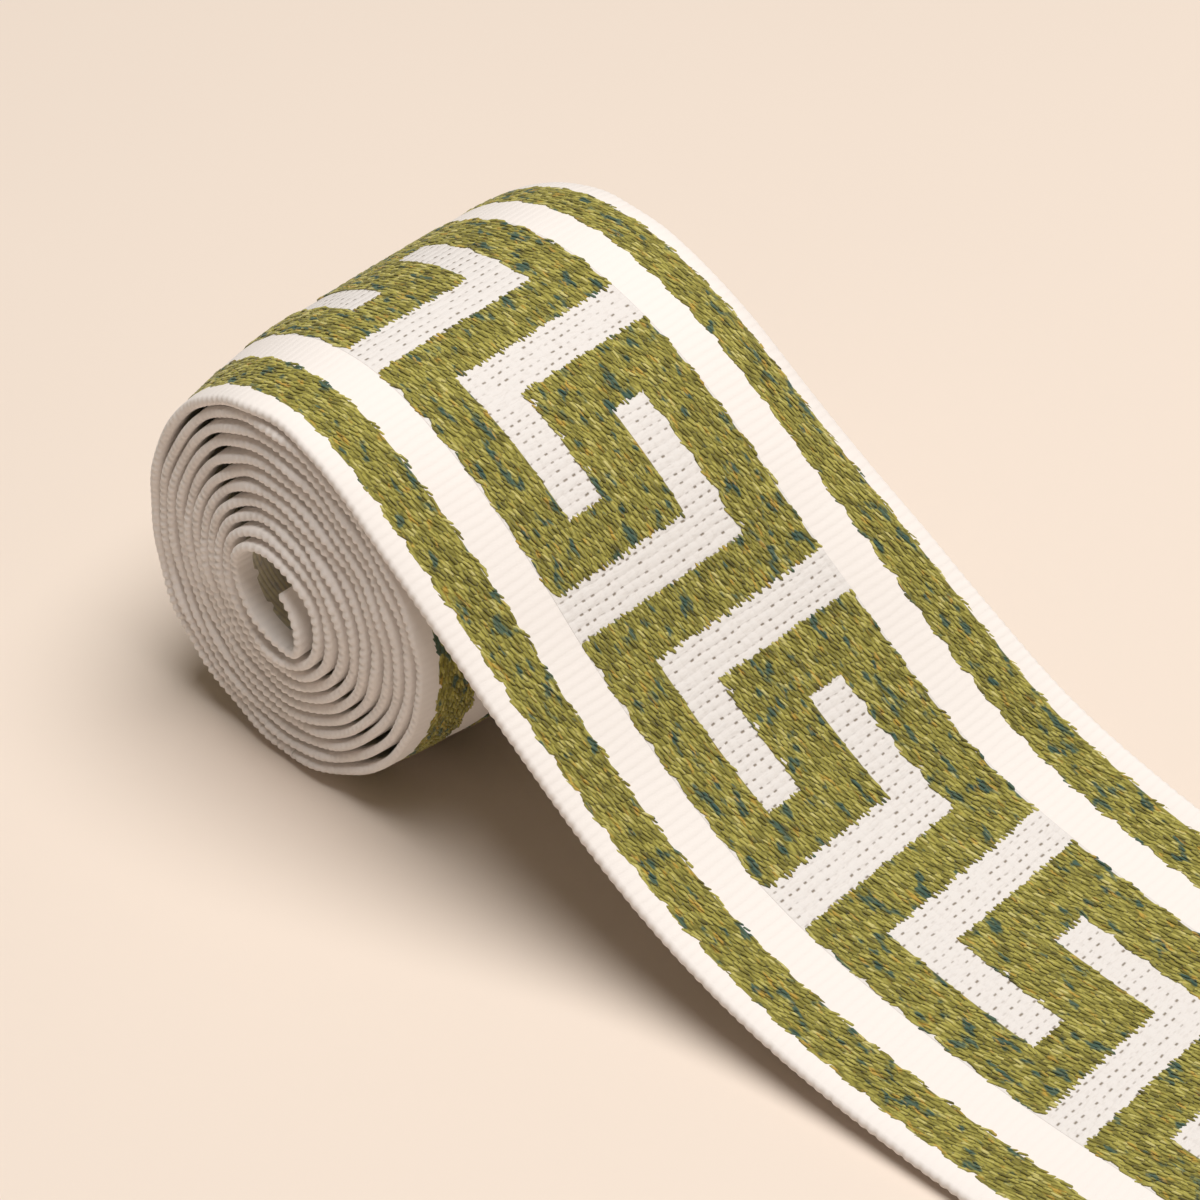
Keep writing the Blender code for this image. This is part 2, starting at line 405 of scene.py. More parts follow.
def end_points(lengths, columns):
    """Rows of points on the upper side of the loose end, down to its cut end."""
    table = [read_row(LOOSE_END, length) for length in lengths]
    slopes = np.radians([row.slope for row in table])
    steps, means = np.diff(lengths), (slopes[1:] + slopes[:-1]) / 2
    falls = -steps * np.sin(means)
    top = AXIS_HEIGHT + OUTER_TURN[0].radius
    falls *= (top - THICKNESS) / falls.sum()
    x = NODE_GAP + np.concatenate([[0.0], np.cumsum(steps * np.cos(means))])
    z = top - np.concatenate([[0.0], np.cumsum(falls)])
    rows = []
    for i, row in enumerate(table):
        up = lifts(row, columns)
        y = (columns - 0.5) * TAPE_WIDTH + row.sway
        level = np.maximum(z[i] + up * math.cos(slopes[i]), THICKNESS)
        rows.append(np.stack([x[i] - up * math.sin(slopes[i]), y, level], axis=1))
    return np.array(rows)


def from_edge(across):
    """How far these places are from the nearer edge of the tape."""
    return np.minimum(across, TAPE_WIDTH - across)


class Course:
    """The tape's face side as a table of points, by the length along the tape (0 at the
    top of the roll, growing towards the cut end) and the place across it."""

    def __init__(self):
        self.columns = np.linspace(0, 1, 53)
        # Every 2 degrees over the outer turn, and every 4 degrees further in
        winds = [2.0 * i for i in range(181)]
        winds += [360 + 4.0 * (i + 1) for i in range(round((TURNS + INNER_END_TURNS - 1) * 90))]
        roll = np.array([roll_points(wound, self.columns) for wound in winds])
        middle = roll[:, len(self.columns) // 2]
        steps = np.linalg.norm(np.diff(middle, axis=0), axis=1)
        roll_lengths = -NODE_GAP - np.concatenate([[0.0], np.cumsum(steps)])
        end_lengths = np.linspace(0, END_LENGTH, 220)
        self.points = np.concatenate([roll[::-1], end_points(end_lengths, self.columns)])
        self.lengths = np.concatenate([roll_lengths[::-1], end_lengths])
        along = np.gradient(self.points, self.lengths, axis=0)
        across = np.gradient(self.points, self.columns * TAPE_WIDTH, axis=1)
        normals = np.cross(along, across)
        self.normals = normals / np.linalg.norm(normals, axis=2, keepdims=True)
        self.winds = winds
        self.roll_lengths = roll_lengths

    def length_at(self, wound):
        """The length where the roll has wound this many degrees inwards."""
        return float(np.interp(wound, self.winds, self.roll_lengths))

    def lay(self, lengths, across, heights):
        """Points this far along, across and above the face, in metres."""
        row = np.interp(lengths, self.lengths, np.arange(len(self.lengths)))
        i = np.clip(row.astype(int), 0, len(self.lengths) - 2)
        f = (row - i)[:, None]
        column = across / TAPE_WIDTH * (len(self.columns) - 1)
        j = np.clip(column.astype(int), 0, len(self.columns) - 2)
        g = (column - j)[:, None]

        def read(table):
            low = table[i, j] * (1 - g) + table[i, j + 1] * g
            high = table[i + 1, j] * (1 - g) + table[i + 1, j + 1] * g
            return low * (1 - f) + high * f

        normals = read(self.normals)
        normals /= np.linalg.norm(normals, axis=1, keepdims=True)
        return (read(self.points) + normals * heights[:, None]) * MM


def add_piece(name, mesh, material):
    """A finished piece, at the origin."""
    mesh.name = name
    mesh.materials.append(material)
    piece = bpy.data.objects.new(name, mesh)
    bpy.context.collection.objects.link(piece)
    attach(piece, "root")
    return piece


class Weaver:
    """Adds nodes to a tree and links them."""

    def __init__(self, tree):
        self.tree = tree

    def node(self, kind, **settings):
        """A node, with its own settings."""
        node = self.tree.nodes.new(kind)
        for key, value in settings.items():
            setattr(node, key, value)
        return node

    def feed(self, socket, value):
        """A link into a socket, or its plain value."""
        if isinstance(value, bpy.types.NodeSocket):
            self.tree.links.new(value, socket)
        else:
            socket.default_value = value

    def sum(self, operation, *values, clamp=False):
        """A Math node's result."""
        node = self.node("ShaderNodeMath", operation=operation, use_clamp=clamp)
        for socket, value in zip(node.inputs, values):
            self.feed(socket, value)
        return node.outputs[0]

    def step(self, value, low, high):
        """0 below low, 1 above high and smooth between."""
        node = self.node("ShaderNodeMapRange", interpolation_type="SMOOTHSTEP")
        for socket, entry in zip(node.inputs, (value, low, high, 0.0, 1.0)):
            self.feed(socket, entry)
        return node.outputs[0]

    def inside(self, value, low, high, soft):
        """1 between low and high."""
        rising = self.step(value, self.sum("SUBTRACT", low, soft), self.sum("ADD", low, soft))
        falling = self.step(value, self.sum("SUBTRACT", high, soft), self.sum("ADD", high, soft))
        return self.sum("SUBTRACT", rising, falling)

    def vector(self, x, y, z=0.0):
        """Three values as one vector."""
        node = self.node("ShaderNodeCombineXYZ")
        for socket, value in zip(node.inputs, (x, y, z)):
            self.feed(socket, value)
        return node.outputs[0]

    def noise(self, vector, scale, detail=2.0, roughness=0.5):
        """A noise texture's value."""
        node = self.node("ShaderNodeTexNoise")
        self.feed(node.inputs["Vector"], vector)
        self.feed(node.inputs["Scale"], scale)
        self.feed(node.inputs["Detail"], detail)
        self.feed(node.inputs["Roughness"], roughness)
        return node.outputs["Fac"]

    def grain(self, length, across, along, sideways, layer=0.0, detail=2.0, roughness=0.5):
        """Noise with one scale along the tape and another across it."""
        far, wide = self.sum("MULTIPLY", length, along), self.sum("MULTIPLY", across, sideways)
        return self.noise(self.vector(far, wide, layer), 1.0, detail, roughness)

    def mix(self, share, first, second):
        """A mix of two colours."""
        node = self.node("ShaderNodeMix", data_type="RGBA")
        self.feed(node.inputs[0], share)
        self.feed(node.inputs[6], first)
        self.feed(node.inputs[7], second)
        return node.outputs[2]

    def ramp(self, value, stops):
        """A colour ramp's colour, from (position, colour) stops."""
        node = self.node("ShaderNodeValToRGB")
        elements = node.color_ramp.elements
        while len(elements) < len(stops):
            elements.new(0.5)
        for element, (position, colour) in zip(elements, stops):
            element.position = position
            element.color = (*colour, 1.0)
        self.feed(node.inputs[0], value)
        return node.outputs[0]

    def group(self, tree, **values):
        """A group node, with its inputs fed."""
        node = self.node("ShaderNodeGroup", node_tree=tree)
        for key, value in values.items():
            self.feed(node.inputs[key.replace("_", " ")], value)
        return node

    def bump(self, shader, height, strength, distance):
        """Fine relief on a shader, from a height."""
        node = self.node("ShaderNodeBump")
        for key, value in (("Strength", strength), ("Distance", distance), ("Height", height)):
            self.feed(node.inputs[key], value)
        self.feed(shader.inputs["Normal"], node.outputs[0])


def tinted(colour, red=1.0, green=1.0, blue=1.0):
    """A colour with its channels scaled and an alpha of 1."""
    return (colour[0] * red, colour[1] * green, colour[2] * blue, 1.0)


def new_group(name, inputs, outputs):
    """An empty shader node group with its sockets, its Weaver and its two ends."""
    tree = bpy.data.node_groups.new(name, "ShaderNodeTree")
    for socket, kind in inputs:
        tree.interface.new_socket(name=socket, in_out="INPUT", socket_type=kind)
    for socket, kind in outputs:
        tree.interface.new_socket(name=socket, in_out="OUTPUT", socket_type=kind)
    weaver = Weaver(tree)
    given, result = weaver.node("NodeGroupInput"), weaver.node("NodeGroupOutput")
    return tree, weaver, given.outputs, result.inputs


def key_pattern_group(sizes):
    """Where the tape is woven in melange yarn: two stripes, and the key zone without its
    white bars. Each near edge has a small white tooth at every tie."""
    name = "Key pattern"
    if name in bpy.data.node_groups:
        return bpy.data.node_groups[name]
    inputs = [("Length", "NodeSocketFloat"), ("Across", "NodeSocketFloat")]
    outputs = [("Melange", "NodeSocketFloat"), ("Key zone", "NodeSocketFloat")]
    tree, w, given, result = new_group(name, inputs, outputs)
    length, across = given["Length"], given["Across"]
    tie = w.sum("FRACT", w.sum("DIVIDE", length, sizes.tie))
    tooth = w.inside(tie, TOOTH_FROM, TOOTH_TO, TOOTH_SOFT)
    raised = w.sum("MULTIPLY_ADD", tooth, 0.95 * MM, 0.1 * MM)
    notched = w.sum("MULTIPLY_ADD", tooth, 0.5 * MM, 0.15 * MM)
    ragged = w.grain(length, across, 300.0, 1400.0, detail=1.0)
    shift = w.sum("MULTIPLY_ADD", ragged, 1.2 * MM, (KEY_STARTS - 0.6) * MM)
    repeats = w.sum("DIVIDE", w.sum("SUBTRACT", length, shift), KEY_REPEAT * MM)
    along = w.sum("MULTIPLY", w.sum("FRACT", repeats), KEY_REPEAT * MM)
    soft = EDGE_SOFT * MM
    white = 0.0
    for bar in KEY_BARS:
        far = w.sum("ADD", raised, bar.far * MM)
        wide = w.inside(across, bar.near * MM, far, soft)
        start = bar.start - BAR_EARLY
        long = w.inside(along, start * MM, (bar.end + BAR_LATE) * MM, soft)
        white = w.sum("MAXIMUM", white, w.sum("MULTIPLY", wide, long))
        if start < 0:
            late = (KEY_REPEAT + start) * MM
            long = w.step(along, late - soft, late + soft)
            white = w.sum("MAXIMUM", white, w.sum("MULTIPLY", wide, long))
    zone = w.inside(across, w.sum("ADD", notched, KEY_NEAR * MM), (KEY_FAR - 0.3) * MM, soft)
    melange = w.sum("MULTIPLY", zone, w.sum("SUBTRACT", 1.0, white))
    for stripe in STRIPES:
        near = w.sum("ADD", notched, stripe.near * MM)
        band = w.inside(across, near, (stripe.far - 0.35) * MM, soft)
        melange = w.sum("MAXIMUM", melange, band)
    w.feed(result["Melange"], melange)
    w.feed(result["Key zone"], w.inside(across, KEY_NEAR * MM, KEY_FAR * MM, soft))
    return tree


def melange_group(colours):
    """The colour of the melange yarn: olive fibres with lighter, golden, dark and teal
    ones, which change from ply to ply and along the yarn."""
    name = "Melange yarn"
    if name in bpy.data.node_groups:
        return bpy.data.node_groups[name]
    inputs = [(n, "NodeSocketFloat") for n in ("Length", "Across", "Tone", "Streak")]
    outputs = [("Colour", "NodeSocketColor")]
    tree, w, given, result = new_group(name, inputs, outputs)
    length, across = given["Length"], given["Across"]
    drift = w.step(w.grain(length, across, 420.0, 1300.0), 0.3, 0.7)
    value = w.sum("MULTIPLY", given["Tone"], 0.5)
    value = w.sum("MULTIPLY_ADD", drift, 0.34, value)
    value = w.sum("MULTIPLY_ADD", given["Streak"], 0.3, value, clamp=True)
    mid = [0.6 * a + 0.4 * b for a, b in zip(colours.olive, colours.leaf)]
    shades = (colours.bark_and_shade, colours.olive, mid, colours.leaf, colours.straw)
    colour = w.ramp(value, list(zip((0.12, 0.36, 0.54, 0.74, 0.92), shades)))
    flecks = w.step(w.grain(length, across, 330.0, 750.0, 7.3), 0.57, 0.67)
    colour = w.mix(w.sum("MULTIPLY", flecks, 0.85), colour, tinted(colours.teal))
    golden = w.step(w.grain(length, across, 380.0, 1300.0, 3.1), 0.6, 0.7)
    colour = w.mix(w.sum("MULTIPLY", golden, 0.75), colour, tinted(colours.gold))
    w.feed(result["Colour"], colour)
    return tree


def new_material(name):
    """A material with its Principled shader."""
    material = bpy.data.materials.new(name)
    material.use_nodes = True
    return material, Weaver(material.node_tree), material.node_tree.nodes["Principled BSDF"]


def ground_material(sizes, colours):
    """The cotton ground: ribs across the tape, small holes in the white bars of the key,
    and melange yarn where the pattern has it."""
    material, w, shader = new_material("Cotton ground")
    around = w.node("ShaderNodeUVMap", uv_map="Weave")
    split = w.node("ShaderNodeSeparateXYZ")
    w.feed(split.inputs[0], around.outputs[0])
    length, place = split.outputs[0], split.outputs[1]
    width = TAPE_WIDTH * MM
    back = w.step(place, width + BACK_FROM * MM, width + BACK_TO * MM)
    turned = w.sum("SUBTRACT", 2 * width + 2 * SELVAGE_WAY * MM, place)
    faced = w.sum("MULTIPLY", w.sum("SUBTRACT", 1.0, back), place)
    across = w.sum("ADD", faced, w.sum("MULTIPLY", back, turned))
    pattern = w.group(key_pattern_group(sizes), Length=length, Across=across)
    melange, key_zone = pattern.outputs["Melange"], pattern.outputs["Key zone"]

    wander = w.noise(w.vector(length, across), 260.0, 1.0)
    pick = w.sum("MULTIPLY_ADD", wander, 0.5, w.sum("DIVIDE", length, sizes.pick))
    rib = w.sum("ABSOLUTE", w.sum("SINE", w.sum("MULTIPLY", pick, math.pi)))
    stray = w.grain(length, across, 500.0, 500.0, 5.0, 1.0)
    end = w.sum("DIVIDE", w.sum("SUBTRACT", across, WARP_STARTS * MM), WARP_PITCH * MM)
    end = w.sum("MULTIPLY_ADD", stray, 0.5, end)
    warp = w.sum("ABSOLUTE", w.sum("SINE", w.sum("MULTIPLY", end, math.pi)))
    bar = w.sum("MULTIPLY", key_zone, w.sum("SUBTRACT", 1.0, melange))
    cell = w.node("ShaderNodeTexWhiteNoise", noise_dimensions="2D")
    w.feed(cell.inputs["Vector"], w.vector(w.sum("ROUND", pick), w.sum("ROUND", end)))
    wide = w.sum("MULTIPLY_ADD", cell.outputs["Value"], 0.3, 0.25)
    narrow = w.step(rib, wide, 0.05)
    tall = w.step(warp, 0.8, 0.3)
    open_share = w.step(cell.outputs["Value"], 0.05, 0.8)
    hole = w.sum("MULTIPLY", w.sum("MULTIPLY", narrow, tall), w.sum("MULTIPLY", open_share, bar))
    hole = w.sum("MULTIPLY", hole, w.sum("SUBTRACT", 1.0, back))

    fine = w.grain(length, across, 5000.0, 1500.0, 0.0, 3.0, 0.6)
    threads = w.grain(length, across, 2600.0, 900.0)
    # Painted shade: the cotton darkens in the gaps between the threads of the white bars and
    # between its ribs, down to 0.7 of its colour
    gaps = w.sum("MULTIPLY", w.step(threads, 0.58, 0.36), 0.6)
    loose = w.sum("SUBTRACT", 1.0, w.sum("MULTIPLY", bar, gaps))
    shade = w.sum("MULTIPLY", w.sum("MULTIPLY_ADD", rib, 0.06, 0.94), loose)
    shadowed = tinted(colours.cotton, 0.7, 0.7, 0.7)
    cotton = w.mix(shade, shadowed, tinted(colours.cotton))
    cooler = tinted(colours.cotton, 0.885, 0.9, 0.91)
    cotton = w.mix(w.sum("MULTIPLY", bar, shade), cotton, cooler)
    # Painted shade in the small holes of the white bars
    cotton = w.mix(w.sum("MULTIPLY", hole, 0.9), cotton, tinted(colours.hole_shade))
    tone = w.grain(length, across, 700.0, 1600.0, detail=1.0)
    group = melange_group(colours)
    yarn = w.group(group, Length=length, Across=across, Tone=tone, Streak=fine)
    # Painted shade: between the slanted plies that the ground shows, the yarn colour darkens
    # towards the bark colour
    slanted = w.sum("MULTIPLY_ADD", length, GROUND_PLY_SLANT, across)
    strand = w.sum("MULTIPLY", slanted, math.pi / (GROUND_PLY_PITCH * MM))
    ply = w.sum("ABSOLUTE", w.sum("SINE", strand))
    lit = w.sum("MULTIPLY_ADD", ply, 0.55, 0.4)
    dark = w.mix(lit, tinted(colours.bark_and_shade), yarn.outputs["Colour"])
    front = w.mix(melange, cotton, dark)
    rear = w.mix(w.sum("MULTIPLY", melange, 0.55), cotton, dark)
    w.feed(shader.inputs["Base Color"], w.mix(back, front, rear))
    w.feed(shader.inputs["Roughness"], 0.9)
    w.feed(shader.inputs["Sheen Weight"], 0.15)
    w.feed(shader.inputs["Specular IOR Level"], 0.25)

    ribs = w.sum("MULTIPLY", rib, w.sum("MULTIPLY_ADD", bar, 0.5, 0.4))
    height = w.sum("MULTIPLY_ADD", fine, 0.45, ribs)
    height = w.sum("MULTIPLY_ADD", w.sum("MULTIPLY", warp, bar), 0.5, height)
    height = w.sum("MULTIPLY_ADD", w.sum("MULTIPLY", threads, bar), 0.8, height)
    height = w.sum("MULTIPLY_ADD", hole, -1.5, height)
    height = w.sum("MULTIPLY_ADD", w.sum("MULTIPLY", ply, melange), 0.8, height)
    w.bump(shader, height, 0.6, 0.00012)
    return material


def yarn_material(colours):
    """The plies of the melange yarn, with fine fibres along each."""
    material, w, shader = new_material("Melange plies")
    weave = w.node("ShaderNodeSeparateXYZ")
    w.feed(weave.inputs[0], w.node("ShaderNodeUVMap", uv_map="Weave").outputs[0])
    length, across = weave.outputs[0], weave.outputs[1]
    stretch = w.node("ShaderNodeMapping")
    stretch.inputs["Scale"].default_value = (900.0, 9000.0, 1.0)
    w.feed(stretch.inputs["Vector"], w.node("ShaderNodeUVMap", uv_map="Strand").outputs[0])
    streak = w.noise(stretch.outputs[0], 1.0, 3.0, 0.6)
    tone = w.node("ShaderNodeAttribute", attribute_name="Tone").outputs["Fac"]
    group = melange_group(colours)
    yarn = w.group(group, Length=length, Across=across, Tone=tone, Streak=streak)
    colour = yarn.outputs["Colour"]
    # Painted shade: the low sides of each ply, by its Rise, darken towards half the bark colour
    rise = w.node("ShaderNodeAttribute", attribute_name="Rise").outputs["Fac"]
    groove_shade = w.mix(0.85, colour, tinted(colours.bark_and_shade, 0.5, 0.5, 0.5))
    w.feed(shader.inputs["Base Color"], w.mix(w.step(rise, -0.3, 0.75), groove_shade, colour))
    w.feed(shader.inputs["Roughness"], w.sum("MULTIPLY_ADD", streak, 0.3, 0.6))
    w.feed(shader.inputs["Sheen Weight"], 0.2)
    w.feed(shader.inputs["Specular IOR Level"], 0.3)
    w.bump(shader, streak, 0.5, 0.00008)
    return material


def section_line(grid, nose):
    """The tape's outline in section as (across, depth, distance round it, share of bead),
    from the near edge over the face, round the far edge and back."""
    face = np.linspace(nose, TAPE_WIDTH - nose, grid.face + 1)
    places, depths = zip(*FACE_DEPTHS)
    depths = np.interp(from_edge(face), places, depths)
    line = [(across, depth, across, 0.0) for across, depth in zip(face, depths)]
    turn = [math.pi * i / 6 for i in range(1, 6)]
    for angle in turn:
        out, down = nose * math.sin(angle), nose - nose * math.cos(angle)
        way = TAPE_WIDTH + SELVAGE_WAY * angle / math.pi
        line.append((TAPE_WIDTH - nose + out, down, way, math.sin(angle)))
    way = 2 * TAPE_WIDTH + 2 * SELVAGE_WAY
    for across in np.linspace(TAPE_WIDTH - nose, nose, grid.back + 1):
        line.append((across, 2 * nose, way - across, 0.0))
    for angle in turn:
        out, down = nose * math.sin(angle), nose + nose * math.cos(angle)
        near_way = 2 * TAPE_WIDTH + NEAR_WAY_STARTS + angle / math.pi * NEAR_WAY
        line.append((nose - out, down, near_way, math.sin(angle)))
    line.append((face[0], depths[0], way + nose, 0.0))
    return np.array(line)


def tape_mesh(name, course, sizes, nose, start, end, grid):
    """A closed length of cotton tape: a flat grid wrapped round the tape's section and
    laid along its course, with ribs on its face and beads along its selvages."""
    section = section_line(grid, nose / MM)
    pick = sizes.pick / MM
    rows = round((end - start) / (pick / grid.pick_rows))
    bm = bmesh.new()
    bmesh.ops.create_grid(bm, x_segments=rows, y_segments=len(section) - 1, size=0.5)
    mesh = bpy.data.meshes.new(name)
    bm.to_mesh(mesh)
    bm.free()
    flat = np.empty(len(mesh.vertices) * 3)
    mesh.vertices.foreach_get("co", flat)
    flat = flat.reshape(-1, 3)
    along = np.rint((flat[:, 0] + 0.5) * rows).astype(int)
    column = np.rint((flat[:, 1] + 0.5) * (len(section) - 1)).astype(int)
    lengths = start + (end - start) * along / rows
    across, depth, round_it, bead = section[column].T
    rng = np.random.default_rng(grid.seed)
    rib = np.abs(np.sin(np.pi * lengths / pick))
    loop = np.floor(lengths / pick + 0.5).astype(int)
    deep = lengths < DEEP_BEADS_BEFORE
    swell = rng.uniform(*BEAD_SWELLS, np.ptp(loop) + 1)[loop - loop.min()]
    swell = swell * np.where(deep, DEEP_SWELL, 1.0)
    notch = (1 - rib) * swell * sizes.bead_depth / MM
    inward = np.where(across < TAPE_WIDTH / 2, 1.0, -1.0)
    ripple = 0.12 * np.sin(lengths / 1.9 + 1.0) + 0.2 * np.sin(lengths / 4.7)
    near_edge = np.exp(-np.maximum(from_edge(across), 0) / SWAY_FADES)
    sway = ripple * near_edge * (lengths < SWAY_BEFORE)
    across = across + inward * (notch * bead + sway)
    thins = np.where(deep, DEEP_NOTCH_THINS, NOTCH_THINS)
    depth = depth + (nose / MM - depth) * notch * bead * thins
    on_face = (depth < 0.5) & (bead == 0)
    edge = from_edge(across)
    plain = (edge < EDGE_BAND_TO) | ((edge > INNER_BAND[0]) & (edge < INNER_BAND[1]))
    depth = depth - on_face * plain * rib * sizes.rib_height / MM
    points = course.lay(lengths, across, -depth)
    mesh.vertices.foreach_set("co", points.ravel())
    uv = mesh.uv_layers.new(name="Weave")
    corner = np.empty(len(mesh.loops), dtype=int)
    mesh.loops.foreach_get("vertex_index", corner)
    weave = np.stack([lengths[corner], round_it[corner]], axis=1) * MM
    uv.data.foreach_set("uv", weave.ravel())
    bm = bmesh.new()
    bm.from_mesh(mesh)
    layer = bm.loops.layers.uv["Weave"]
    bmesh.ops.remove_doubles(bm, verts=bm.verts, dist=1e-6)
    for face in bm.faces:
        face.smooth = True
    known = {}
    open_edges = [edge for edge in bm.edges if edge.is_boundary]
    for edge in open_edges:
        for vert in edge.verts:
            known[vert] = vert.link_loops[0][layer].uv.copy()
    for face in bmesh.ops.holes_fill(bm, edges=open_edges, sides=0)["faces"]:
        face.smooth = False
        for loop in face.loops:
            loop[layer].uv = known[loop.vert]
    bmesh.ops.recalc_face_normals(bm, faces=bm.faces)
    bm.to_mesh(mesh)
    bm.free()
    return mesh


def melange_runs(across, start, end):
    """The lengths of melange yarn at this place across the tape, as (from, to)."""
    if not KEY_NEAR < across < KEY_FAR:
        return [(start, end)]
    first = math.floor((start - KEY_STARTS) / KEY_REPEAT) - 1
    last = math.ceil((end - KEY_STARTS) / KEY_REPEAT) + 1
    white = sorted(
        (KEY_STARTS + KEY_REPEAT * i + bar.start, KEY_STARTS + KEY_REPEAT * i + bar.end)
        for i in range(first, last)
        for bar in KEY_BARS
        if bar.near < across < bar.far
    )
    runs = []
    at = KEY_STARTS + KEY_REPEAT * first
    for low, high in white:
        if low > at:
            runs.append((max(at, start), min(low, end)))
        at = max(at, high)
    return [(a, b) for a, b in runs if b - a > SHORTEST_RUN]


def ply_table(zones, start, end, sizes, rng):
    """Every visible ply of some zones between two lengths: its middle along and across,
    half length, row pitch, row, rows in its zone and the zone's near edge."""
    step, half = sizes.ply_step / MM, sizes.ply_length / MM / 2
    plies = []
    for zone in zones:
        pitch = (zone.far - zone.near) / zone.rows
        for row in range(zone.rows):
            across = zone.near + pitch * (row + 0.5)
            shift = rng.uniform(0, step)
            for low, high in melange_runs(across, start, end):
                low += rng.uniform(*RAGGED_START)
                high += rng.uniform(*RAGGED_END)
                count = max(1, round((high - low) / step))
                for i in range(count):
                    middle = low + (i + 0.5) * (high - low) / count
                    if 0 < i < count - 1:
                        middle += (shift - step / 2) * 0.5
                    room = max(middle - low, high - middle, LEAST_ROOM)
                    reach = min(half * rng.uniform(*PLY_REACHES), room)
                    near_end = min(middle - low, high - middle)
                    if near_end < reach:
                        reach = max(0.5 * (reach + near_end), LEAST_REACH)
                        inwards = 1 if middle - low < high - middle else -1
                        middle += (reach - near_end) * inwards * 0.9
                    plies.append((middle, across, reach, pitch, row, zone.rows, zone.near))
    return np.array(plies)


def spindle_array(name, count):
    """A mesh of this many spindles, repeated by an array, and the points of one."""
    bm = bmesh.new()
    bmesh.ops.create_uvsphere(bm, u_segments=5, v_segments=3, radius=1.0)
    lying = Matrix.Rotation(math.pi / 2, 3, "Y")
    bmesh.ops.rotate(bm, verts=bm.verts, cent=(0, 0, 0), matrix=lying)
    for face in bm.faces:
        face.smooth = True
    spindle = bpy.data.meshes.new("Spindle")
    bm.to_mesh(spindle)
    bm.free()
    shape = np.empty(len(spindle.vertices) * 3)
    spindle.vertices.foreach_get("co", shape)
    shape = shape.reshape(-1, 3)
    holder = bpy.data.objects.new("Spindle", spindle)
    bpy.context.collection.objects.link(holder)
    array = holder.modifiers.new("Plies", "ARRAY")
    array.count = count
    array.use_relative_offset = False
    array.use_constant_offset = True
    array.constant_offset_displace = (3.0, 0.0, 0.0)
    ready = holder.evaluated_get(bpy.context.evaluated_depsgraph_get())
    mesh = bpy.data.meshes.new_from_object(ready)
    bpy.data.objects.remove(holder, do_unlink=True)
    if len(mesh.vertices) != count * len(shape):
        raise RuntimeError(f"{name}: the array didn't give every ply")
    return mesh, shape


def yarn_mesh(name, course, sizes, zones, start, end, seed):
    """The plies of the melange yarn between two lengths, laid along the tape."""
    rng = np.random.default_rng(seed)
    table = ply_table(zones, start, end, sizes, rng)
    count = len(table)
    mesh, shape = spindle_array(name, count)
    size = len(shape)
    middle, across, reach, pitch, row, rows, near = np.repeat(table, size, axis=0).T
    t, side, up = np.tile(shape, (count, 1)).T

    def jitter(amount):
        return np.repeat(rng.uniform(-amount, amount, count), size)

    lengths = middle + t * reach + jitter(0.25) * (reach > 0.9)
    taper = 1 - 0.25 * t * t
    width = sizes.ply_width / MM / 2 * pitch / ROW_PITCH * (1 + jitter(0.2))
    slope = math.tan(sizes.ply_slant) * (1 + jitter(0.5))
    place = across + t * reach * slope + side * width * taper + jitter(0.12)
    tie = sizes.tie / MM
    edge_row = np.where(row == 0, -1.0, 0.0) + np.where(row == rows - 1, 1.0, 0.0)
    wave = np.abs(np.sin(np.pi * (lengths / tie + 0.5)))
    outer = [zone.near for zone in (*STRIPES, KEY_ROWS[0], KEY_ROWS[-1])]
    place = place + edge_row * (wave - EDGE_WAVE_LEVEL) * EDGE_WAVE * np.isin(near, outer)
    height = sizes.ply_height / MM / 2
    drop = PLY_DEPTH + END_DIP * t * t + jitter(0.07)
    tied = np.abs(((lengths / tie + TIE_STAGGER * row + 0.5) % 1) - 0.5) * tie
    drop = drop + TIE_DIP * np.exp(-((tied / TIE_HALF) ** 2))
    points = course.lay(lengths, place, up * height - drop)
    mesh.vertices.foreach_set("co", points.ravel())
    corner = np.empty(len(mesh.loops), dtype=int)
    mesh.loops.foreach_get("vertex_index", corner)
    strand = lengths + np.repeat(rng.uniform(0, 900, count), size)
    for layer_name, pair in (
        ("Weave", (lengths, place)),
        ("Strand", (strand, side * 0.4 + across)),
    ):
        layer = mesh.uv_layers.get(layer_name) or mesh.uv_layers.new(name=layer_name)
        layer.data.foreach_set("uv", (np.stack(pair, axis=1)[corner] * MM).ravel())
    tone = np.repeat(rng.uniform(0, 1, count), size)
    # Rise, the height round each ply, drives the painted shade on its low sides
    for key, values in (("Tone", tone), ("Rise", up)):
        mesh.attributes.new(key, "FLOAT", "POINT").data.foreach_set("value", values)
    return mesh


class TAPETRIM_OT_ground(bpy.types.Operator):
    """Weave the cotton tape and lay it along its course"""

    bl_idname = "tapetrim.ground"
    bl_label = "Weave the cotton tape"

    def execute(self, context):
        sizes, colours = context.scene.tape_sizes, context.scene.tape_colours
        course = Course()
        material = ground_material(sizes, colours)
        under = course.length_at(180)
        inner = course.lengths[0]
        for name, nose, start, end, grid in (
            ("tape_free", sizes.nose, under, END_LENGTH, FREE_GRID),
            ("tape_wound", sizes.wound_nose, inner, under, WOUND_GRID),
        ):
            mesh = tape_mesh(name, course, sizes, nose, start, end, grid)
            add_piece(name, mesh, material)
        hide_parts("loose_end")
        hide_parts("roll")
        return {"FINISHED"}


